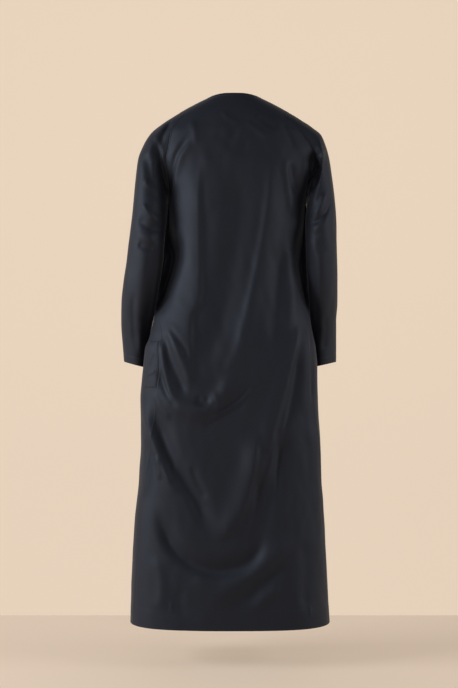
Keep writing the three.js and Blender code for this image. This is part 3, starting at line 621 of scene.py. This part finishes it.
def shell(name, grid, thick, material, outward, closed=False):
    """A closed thin shell: the outer sheet and an inner one set back from it."""
    rows, cols = grid.shape[:2]
    count = rows * cols
    normal = sheet_normals(grid, outward, closed)
    inner = grid - normal * np.broadcast_to(thick, (rows, cols))[..., None]
    outer = grid.reshape(-1, 3)
    uv = cut_coordinates(grid).reshape(-1, 2)
    j, i = np.meshgrid(np.arange(rows - 1), np.arange(cols if closed else cols - 1), indexing="ij")
    k = (i + 1) % cols
    a, b, c, d = j * cols + i, (j + 1) * cols + i, (j + 1) * cols + k, j * cols + k
    quads = np.stack([a, b, c, d], axis=-1).reshape(-1, 4)
    p, q, r = (outer[quads[:, m]] for m in (0, 1, 3))
    face = np.cross(q - p, r - p)
    if np.sum(face * normal.reshape(-1, 3)[quads[:, 0]]) < 0:
        quads = quads[:, ::-1]
    index = np.arange(count).reshape(rows, cols)
    loops = [index[0], index[-1]]
    if closed:
        loops = [np.append(g, g[0]) for g in loops]
    else:
        loops += [index[:, 0], index[:, -1]]
    edges = {(quad[m], quad[(m + 1) % 4]) for quad in quads.tolist() for m in range(4)}
    border = []
    for loop in loops:
        for e, f in zip(loop[:-1].tolist(), loop[1:].tolist()):
            if (e, f) not in edges:
                e, f = f, e
            border.append((f, e, e + count, f + count))
    faces = np.concatenate([quads, quads[:, ::-1] + count, np.array(border)])
    verts = np.concatenate([outer, inner.reshape(-1, 3)])
    return make_mesh(name, verts, faces, np.concatenate([uv, uv]), material)


# ------------------------------ materials
def add_node(tree, kind, **sockets):
    """A shader node with its sockets set by name, with _ for a space."""
    node = tree.nodes.new(kind)
    for socket, value in sockets.items():
        node.inputs[socket.replace("_", " ")].default_value = value
    return node


def shaded_ramp(tree, factor, colour, shares):
    """A ramp from a darker to a lighter shade of one colour."""
    ramp = tree.nodes.new("ShaderNodeValToRGB")
    for stop, share in zip(ramp.color_ramp.elements, shares):
        stop.color = (*[min(c * share, 1) for c in colour], 1)
    tree.links.new(factor, ramp.inputs["Fac"])
    return ramp


def cloth_material(name, tone, rough):
    """Fine black twill: diagonal ribs, a soft sheen and faint uneven dye."""
    mat = bpy.data.materials.new(name)
    mat.use_nodes = True
    tree = mat.node_tree
    link = tree.links.new
    bsdf = tree.nodes["Principled BSDF"]
    for socket, value in CLOTH_SHEEN.items():
        bsdf.inputs[socket].default_value = value
    uv = tree.nodes.new("ShaderNodeUVMap")
    uv.uv_map = CUT_MAP
    mapping = add_node(tree, "ShaderNodeMapping", Rotation=(0, 0, math.radians(TWILL_ANGLE)))
    link(uv.outputs["UV"], mapping.inputs["Vector"])
    twill = add_node(tree, "ShaderNodeTexWave", Scale=TWILL_SCALE, Distortion=0.8, Detail=1.0,
                     Detail_Scale=2.0)
    twill.wave_type, twill.bands_direction, twill.wave_profile = "BANDS", "X", "SIN"
    link(mapping.outputs["Vector"], twill.inputs["Vector"])
    slub = add_node(tree, "ShaderNodeTexNoise", Scale=SLUB_SCALE, Detail=2.0)
    link(uv.outputs["UV"], slub.inputs["Vector"])
    mix = tree.nodes.new("ShaderNodeMix")
    mix.data_type = "FLOAT"
    mix.inputs[0].default_value = SLUB_SHARE
    link(twill.outputs["Fac"], mix.inputs[2])
    link(slub.outputs["Fac"], mix.inputs[3])
    bump = add_node(tree, "ShaderNodeBump", Strength=RIB_STRENGTH, Distance=RIB_DEPTH)
    link(mix.outputs[0], bump.inputs["Height"])
    link(bump.outputs["Normal"], bsdf.inputs["Normal"])
    dye = add_node(tree, "ShaderNodeTexNoise", Scale=DYE_SCALE, Detail=4.0)
    link(uv.outputs["UV"], dye.inputs["Vector"])
    ramp = shaded_ramp(tree, dye.outputs["Fac"], tone, DYE_SHADES)
    for stop, place in zip(ramp.color_ramp.elements, DYE_STOPS):
        stop.position = place
    link(ramp.outputs["Color"], bsdf.inputs["Base Color"])
    span = add_node(tree, "ShaderNodeMapRange", To_Min=rough + ROUGH_SPREAD[0],
                    To_Max=rough + ROUGH_SPREAD[1])
    link(dye.outputs["Fac"], span.inputs["Value"])
    link(span.outputs["Result"], bsdf.inputs["Roughness"])
    return mat


def plain_material(name, colour, rough, grain, depth):
    """One colour with a faint mottle and a fine grain."""
    mat = bpy.data.materials.new(name)
    mat.use_nodes = True
    tree = mat.node_tree
    bsdf = tree.nodes["Principled BSDF"]
    bsdf.inputs["Roughness"].default_value = rough
    coord = tree.nodes.new("ShaderNodeTexCoord")
    noise = add_node(tree, "ShaderNodeTexNoise", Scale=grain, Detail=5.0)
    tree.links.new(coord.outputs["Object"], noise.inputs["Vector"])
    ramp = shaded_ramp(tree, noise.outputs["Fac"], colour, PLAIN_SHADES)
    tree.links.new(ramp.outputs["Color"], bsdf.inputs["Base Color"])
    bump = add_node(tree, "ShaderNodeBump", Distance=depth)
    tree.links.new(noise.outputs["Fac"], bump.inputs["Height"])
    tree.links.new(bump.outputs["Normal"], bsdf.inputs["Normal"])
    return mat


TWILL = cloth_material("black_twill", tone=(0.0062, 0.0068, 0.0112), rough=0.64)
TWILL_BAND = cloth_material("black_twill_band", tone=(0.0055, 0.0061, 0.0100), rough=0.66)
THREAD = plain_material("black_thread", (0.030, 0.030, 0.035), rough=0.45, grain=1500, depth=0.00005)


# ------------------------------ panels
def panel(name, is_back, upper, lower, cols):
    """A body panel with a stepped hem and edges that roll over at their seams."""
    turn, z = panel_rows(is_back, upper, lower, cols)
    grid = body_points(turn, z)
    out = np.zeros_like(grid)
    out[..., 1] = 1 if is_back else -1
    n = sheet_normals(grid, out)
    step = HEM_STEP * smooth(HEM_LINE_Z + STEP_ABOVE, HEM_LINE_Z - STEP_BELOW, z) \
        - HEM_GROOVE * bell(z, HEM_LINE_Z, HEM_GROOVE_WIDTH)
    gaps = np.linalg.norm(np.diff(grid, axis=1), axis=-1)
    from_left = np.cumsum(np.pad(gaps, ((0, 0), (1, 0))), axis=1)
    from_right = np.cumsum(np.pad(gaps, ((0, 0), (0, 1)))[:, ::-1], axis=1)[:, ::-1]
    dist = np.minimum(from_left, from_right)
    roll = EDGE_ROLL * bell(dist, EDGE_ROLL_AT, EDGE_ROLL_WIDTH) \
        - EDGE_SINK * bell(dist, 0, EDGE_SINK_WIDTH)
    grid = grid + n * (step + roll)[..., None]
    thick = CLOTH + HEM_EXTRA * smooth(HEM_LINE_Z + HEM_SOFT, HEM_LINE_Z - HEM_SOFT, z)
    return shell(name, grid, thick, TWILL, out), grid, n


back_obj, back_grid, back_n = panel("cloth_back", True, *BACK_MESH)
front_obj, front_grid, front_n = panel("cloth_front", False, *FRONT_MESH)
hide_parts("back")
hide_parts("front")


# ------------------------------ sleeves
def armhole(is_left, around):
    """The line on the body that a sleeve is sewn to."""
    z = SHOULDER_Z + (UNDERARM_Z - SHOULDER_Z) * (1 - np.cos(around)) / 2
    is_back = np.sin(around) >= 0
    rear = SEAM["back_left"](z) if is_left else SEAM["back_right"](z)
    turn = turn_at(np.where(is_back, rear, SEAM["front"](z)), z) * np.where(is_back, 1, -1)
    return body_points(turn if is_left else math.pi - turn, z)


def sleeve(side, table, back_folds):
    """A sleeve of rings down its table, whose top turns into the armhole."""
    is_left = side == "left"
    sign = 1 if is_left else -1
    index = np.arange(len(table))
    ring = [column(index, table[:, k]) for k in range(6)]
    s = np.linspace(0, 1, SLEEVE_RINGS + 1) ** RING_CROWDING * (len(table) - 1)
    around = np.linspace(0, 2 * math.pi, SLEEVE_COLUMNS, endpoint=False)
    s, a = np.meshgrid(s, around, indexing="ij")

    def plain(s, a):
        out_x, out_z, in_x, in_z, depth, mid = (f(s) for f in ring)
        c = np.cos(a)
        lean = LEAN * smooth(*LEAN_ROWS, s) * np.where(np.sin(a) > 0, c, 0)
        return np.stack([sign * ((out_x + in_x) / 2 + (out_x - in_x) / 2 * c),
                         mid + depth * signed(np.sin(a), SLEEVE_SQUARE) * (1 + lean),
                         (out_z + in_z) / 2 + (out_z - in_z) / 2 * c], axis=-1)

    grid = plain(s, a)
    keep = 1 - smooth(0, JOIN_ROWS, s)
    residual = armhole(is_left, around) - plain(np.zeros(SLEEVE_COLUMNS), around)
    grid = grid + keep[..., None] * residual[None]
    rear = np.sin(a)
    x, z = grid[..., 0].ravel(), grid[..., 2].ravel()
    front_folds = SLEEVE_FRONT if is_left else mirrored(SLEEVE_FRONT)
    lift_back = fold_height(prepare(back_folds), x, z).reshape(s.shape)
    lift_front = fold_height(prepare(front_folds), x, z).reshape(s.shape)
    fade = smooth(*SLEEVE_ROWS, s)
    lift = smooth(*ROUND_FADE, rear) * lift_back - smooth(*ROUND_FADE, -rear) * lift_front
    grid[..., 1] += fade * lift
    loose = wobble(x + ROUND_THE_SIDE * rear.ravel(), z, SEED[side]).reshape(s.shape)
    out = np.stack([sign * np.cos(a), rear, 0 * a], axis=-1)
    n = sheet_normals(grid, out, True)
    steps = np.linalg.norm(np.diff(grid, axis=0), axis=-1)
    down = np.cumsum(np.pad(steps, ((1, 0), (0, 0))), axis=0)
    to_cuff = down[-1][None] - down
    outer_side = SEAM_ROLL_LEAST + (1 - SEAM_ROLL_LEAST) * np.cos(a / 2) ** 2
    seam_roll = SEAM_ROLL * bell(down, SEAM_ROLL_AT, SEAM_ROLL_WIDTH) * outer_side
    cuff_step = CUFF_STEP * smooth(CUFF_DEPTH + CUFF_SOFT, CUFF_DEPTH - CUFF_SOFT, to_cuff) \
        - CUFF_GROOVE * bell(to_cuff, CUFF_DEPTH, CUFF_GROOVE_WIDTH)
    grid = grid + n * (fade * loose * SLEEVE_SLACK + seam_roll + cuff_step)[..., None]
    shift = TOP_SHIFT + UNDERARM_SHIFT[side] * bell(a, UNDERARM_TURN, UNDERARM_WIDTH)
    grid[..., 0] += sign * shift * (1 - smooth(*TOP_ROWS, s))
    press = smooth(*PRESS_ROWS[:2], s) * (1 - smooth(*PRESS_ROWS[2:], s))
    grid[..., 0] -= sign * press * PRESS[side] * bell(a, math.pi, PRESS_WIDTH)
    thick = CLOTH + HEM_EXTRA * smooth(CUFF_DEPTH + HEM_SOFT, CUFF_DEPTH - HEM_SOFT, to_cuff)
    made = shell("cloth_sleeve_" + side, grid, thick, TWILL, out, closed=True)
    return made, grid, n, to_cuff


left_obj, *left_cuff = sleeve("left", SLEEVE_LEFT, SLEEVE_BACK_LEFT)
right_obj, *right_cuff = sleeve("right", SLEEVE_RIGHT, SLEEVE_BACK_RIGHT)
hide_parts("sleeve_left")
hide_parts("sleeve_right")


# ------------------------------ neckband
def fix_outward(obj):
    """Turns every face of a closed mesh outwards."""
    bm = bmesh.new()
    bm.from_mesh(obj.data)
    bmesh.ops.recalc_face_normals(bm, faces=bm.faces)
    bm.to_mesh(obj.data)
    bm.free()


def sweep(name, path, up, out, profile, material):
    """Carries a closed cross-section, in (up, out), along a path."""
    ring = path[:, None] + up[:, None] * profile[None, :, :1] + out[:, None] * profile[None, :, 1:]
    rows, cols = ring.shape[:2]
    faces = []
    for j in range(rows - 1):
        for i in range(cols):
            k = (i + 1) % cols
            faces.append([j * cols + i, j * cols + k, (j + 1) * cols + k, (j + 1) * cols + i])
    faces.append(list(range(cols))[::-1])
    faces.append([(rows - 1) * cols + i for i in range(cols)])
    uv = np.stack(np.meshgrid(run_along(path), run_along(profile), indexing="ij"), axis=-1)
    obj = make_mesh(name, ring.reshape(-1, 3), faces, uv.reshape(-1, 2) * MM, material, sharp=70)
    fix_outward(obj)
    return obj


def rounded_strip(height, wall, radius, steps=3):
    """Cross-section of a folded strip: up from its foot, out from its inner face."""
    corners = [(radius, -radius), (height - radius, -radius),
               (height - radius, -wall + radius), (radius, -wall + radius)]
    pts = []
    for (u, w), start in zip(corners, (180, 90, 0, -90)):
        for k in range(steps + 1):
            ang = math.radians(start - 90 * k / steps)
            pts.append((u + radius * math.cos(ang), w + radius * math.sin(ang)))
    return np.array(pts)


half = front_grid.shape[1] // 2
neck_edge = np.concatenate([front_grid[0, half:], back_grid[0][::-1][1:-1], front_grid[0, :half + 1]])
band_up = unit(np.stack([-neck_edge[:, 0] * np.abs(neck_edge[:, 0]) / BAND_FLARE_X,
                         (BAND_CENTRE_Y - neck_edge[:, 1]) * BAND_FLARE_Y,
                         np.full(len(neck_edge), BAND_RISE)], axis=-1))
band_out = unit(np.cross(band_up, np.gradient(neck_edge, axis=0)))
if np.sum(band_out * neck_edge * np.array([1, 1, 0])) < 0:
    band_out = -band_out
neck_path = neck_edge + band_up * BAND_LIFT
neck_path[0, 0] -= BAND_END_GAP
neck_path[-1, 0] += BAND_END_GAP
band_obj = sweep("cloth_neckband", neck_path, band_up, band_out,
                 rounded_strip(BAND_HEIGHT, BAND_WALL, BAND_RADIUS), TWILL_BAND)
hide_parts("neckband")


# ------------------------------ placket and pocket
def front_place(x, z):
    """Point and normal of the front sheet at x, z."""
    def at(x, z):
        wide = np.where(x > 0, LEFT(z), RIGHT(z))
        turn = turn_at(np.abs(x) / wide, z)
        return body_points(-np.where(x > 0, turn, math.pi - turn), z)
    dx, dz = 0.6, 1.0
    n = unit(np.cross(at(x + dx, z) - at(x - dx, z), at(x, z + dz) - at(x, z - dz)))
    return at(x, z), n * np.sign(-n[..., 1:2])


def side_place(turn, z):
    """Point and normal of the body at a turn and height."""
    da, dz = 0.004, 1.5
    n = unit(np.cross(body_points(turn + da, z) - body_points(turn - da, z),
                      body_points(turn, z + dz) - body_points(turn, z - dz)))
    return body_points(turn, z), n


zz, xx = np.meshgrid(np.linspace(PLACKET["top"], PLACKET["bottom"], PLACKET["rows"]),
                     np.linspace(PLACKET["half"], -PLACKET["half"], PLACKET["cols"]), indexing="ij")
aside = np.abs(xx) / PLACKET["half"]
zz[0] += PLACKET["top_curve"] * aside[0] ** 2
place, pl_n = front_place(xx, zz)
pl_lift = PLACKET["proud"] - PLACKET["edge_drop"] * aside ** PLACKET["edge_power"]
placket_grid = place + pl_n * pl_lift[..., None]
placket_obj = shell("cloth_placket", placket_grid, CLOTH, TWILL_BAND, pl_n)
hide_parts("placket")

zz, tt = np.meshgrid(np.linspace(POCKET["top"], POCKET["bottom"], POCKET["rows"]),
                     np.linspace(0, 1, POCKET["cols"]), indexing="ij")
seam_turn = turn_at(SEAM["side_left"](zz), zz)
place, pk_n = side_place(seam_turn - POCKET["from_seam"] - tt * POCKET["turn"], zz)
edge_in = np.minimum(np.minimum(tt, 1 - tt) * POCKET["reach"],
                     np.minimum(zz - POCKET["bottom"], POCKET["top"] - zz))
wrinkle = fold_height(prepare(POCKET_WRINKLES), (tt * POCKET["reach"]).ravel(), zz.ravel())
wrinkle = np.maximum(wrinkle.reshape(tt.shape), POCKET["wrinkle_least"])
pk_lift = POCKET["proud"] - POCKET["edge_drop"] * bell(edge_in, 0, POCKET["edge_width"]) \
    + smooth(*POCKET["wrinkles_in"], edge_in) * wrinkle
pocket_grid = place + pk_n * pk_lift[..., None]
pocket_obj = shell("cloth_pocket_left", pocket_grid, CLOTH, TWILL, pk_n)
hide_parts("pocket_left")


# ------------------------------ stitches
def stitches(name, path, normal, pitch=3.6, length=2.6, width=0.55, proud=0.15):
    """A row of thread stitches along a path on the cloth, each with its ends sunk in."""
    run = run_along(path)
    sides, cuts = 6, (-1, -0.72, 0, 0.72, 1)

    def at(d, values):
        return np.stack([np.interp(d, run, values[:, k]) for k in range(3)], axis=-1)

    verts, faces = [], []
    for d in np.arange(pitch, run[-1] - pitch / 2, pitch):
        along = unit(at(d + length / 2, path) - at(d - length / 2, path))
        n = unit(at(d, normal))
        across = unit(np.cross(along, n))
        base = len(verts)
        for c in cuts:
            is_end = abs(c) == 1
            r = width / 2 * (STITCH_TAPER if is_end else 1.0)
            rise = proud - (STITCH_SINK if is_end else 0.0)
            mid = at(d, path) + along * c * length / 2 + n * rise
            for k in range(sides):
                ang = 2 * math.pi * k / sides
                verts.append(mid + across * r * math.cos(ang)
                             + n * r * STITCH_FLATNESS * math.sin(ang))
        for c in range(len(cuts) - 1):
            a = base + c * sides
            for k in range(sides):
                m = (k + 1) % sides
                faces.append([a + k, a + m, a + sides + m, a + sides + k])
        faces.append([base + k for k in range(sides)][::-1])
        faces.append([base + (len(cuts) - 1) * sides + k for k in range(sides)])
    obj = make_mesh(name, np.array(verts), faces, None, THREAD, sharp=80)
    fix_outward(obj)
    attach(obj, "root")


def line_at(grid, normal, measure, value):
    """Points and normals where a measure that falls down each column has one value."""
    def read(values):
        return np.array([[np.interp(value, measure[::-1, i], values[::-1, i, k]) for k in range(3)]
                         for i in range(grid.shape[1])])
    return read(grid), read(normal)


band_stitches = neck_path + band_up * BAND_STITCH_RISE
stitches("stitch_neckband", band_stitches[2:-2], band_out[2:-2])
stitches("stitch_placket_left", placket_grid[3:-1, 1], pl_n[3:-1, 1])
stitches("stitch_placket_right", placket_grid[3:-1, -2], pl_n[3:-1, -2])
stitches("stitch_placket_end", placket_grid[-3, 1:-1], pl_n[-3, 1:-1])
stitches("stitch_pocket_top", pocket_grid[2, 1:-1], pk_n[2, 1:-1])
stitches("stitch_pocket_bottom", pocket_grid[-3, 1:-1], pk_n[-3, 1:-1])
stitches("stitch_pocket_side", pocket_grid[2:-2, 2], pk_n[2:-2, 2])
for side, cuff in (("left", left_cuff), ("right", right_cuff)):
    path, ns = line_at(*cuff, CUFF_DEPTH - CUFF_STITCH_INSET)
    stitches(f"stitch_cuff_{side}", np.vstack([path, path[:1]]), np.vstack([ns, ns[:1]]))
for slot, grid, normal in (("back", back_grid, back_n), ("front", front_grid, front_n)):
    path, ns = line_at(grid, normal, grid[..., 2], HEM_LINE_Z)
    stitches(f"stitch_hem_{slot}", path, ns, pitch=9.0, length=1.2, width=0.5, proud=0.05)

# ------------------------------ attach the cloth to the root
for obj in (back_obj, front_obj, left_obj, right_obj, placket_obj, pocket_obj, band_obj):
    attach(obj, "root")

# ------------------------------ camera, stage and lights
camera_data = bpy.data.cameras.new("camera")
camera_data.lens = CAMERA["lens"]
camera_data.sensor_width = CAMERA["sensor"]
camera_data.sensor_fit = "AUTO"
camera = bpy.data.objects.new("camera", camera_data)
camera.location = CAMERA["place"]
camera.rotation_euler = [math.radians(angle) for angle in CAMERA["turn"]]
bpy.context.scene.collection.objects.link(camera)
bpy.context.scene.camera = camera


def stage_sheet(name, corners, glow):
    """A flat sheet of pale matt paint that also glows a little; corners in metres."""
    paint = plain_material("painted_" + name, WALL_COLOUR, rough=0.9, grain=3.0, depth=0.0006)
    bsdf = paint.node_tree.nodes["Principled BSDF"]
    bsdf.inputs["Emission Color"].default_value = GLOW_COLOUR
    bsdf.inputs["Emission Strength"].default_value = glow
    make_mesh(name, np.array(corners, dtype=float) / MM, [[0, 1, 2, 3]], None, paint)


# The wall stands far off, so that a camera in front of the garment isn't behind it.
stage_sheet("floor", [(-FLOOR_REACH, FLOOR_END_Y, FLOOR_Z), (FLOOR_REACH, FLOOR_END_Y, FLOOR_Z),
                      (FLOOR_REACH, FLOOR_REACH, FLOOR_Z), (-FLOOR_REACH, FLOOR_REACH, FLOOR_Z)],
            FLOOR_GLOW)
stage_sheet("backdrop", [(x, WALL_Y, z) for x, z in WALL_CORNERS], WALL_GLOW)

for name, place, target, (width, height), power, colour in LIGHTS:
    light = bpy.data.lights.new(name, "AREA")
    light.shape = "RECTANGLE"
    light.size, light.size_y = width, height
    light.energy, light.color = power, colour
    lamp = bpy.data.objects.new(name, light)
    lamp.location = place
    lamp.rotation_euler = (Vector(target) - Vector(place)).to_track_quat("-Z", "Y").to_euler()
    bpy.context.scene.collection.objects.link(lamp)
world = bpy.data.worlds.new("studio")
world.use_nodes = True
sky = world.node_tree.nodes["Background"]
sky.inputs["Color"].default_value = SKY_COLOUR
sky.inputs["Strength"].default_value = SKY_STRENGTH
bpy.context.scene.world = world
bpy.context.scene.view_settings.view_transform = "Standard"
bpy.context.scene.view_settings.look = "None"
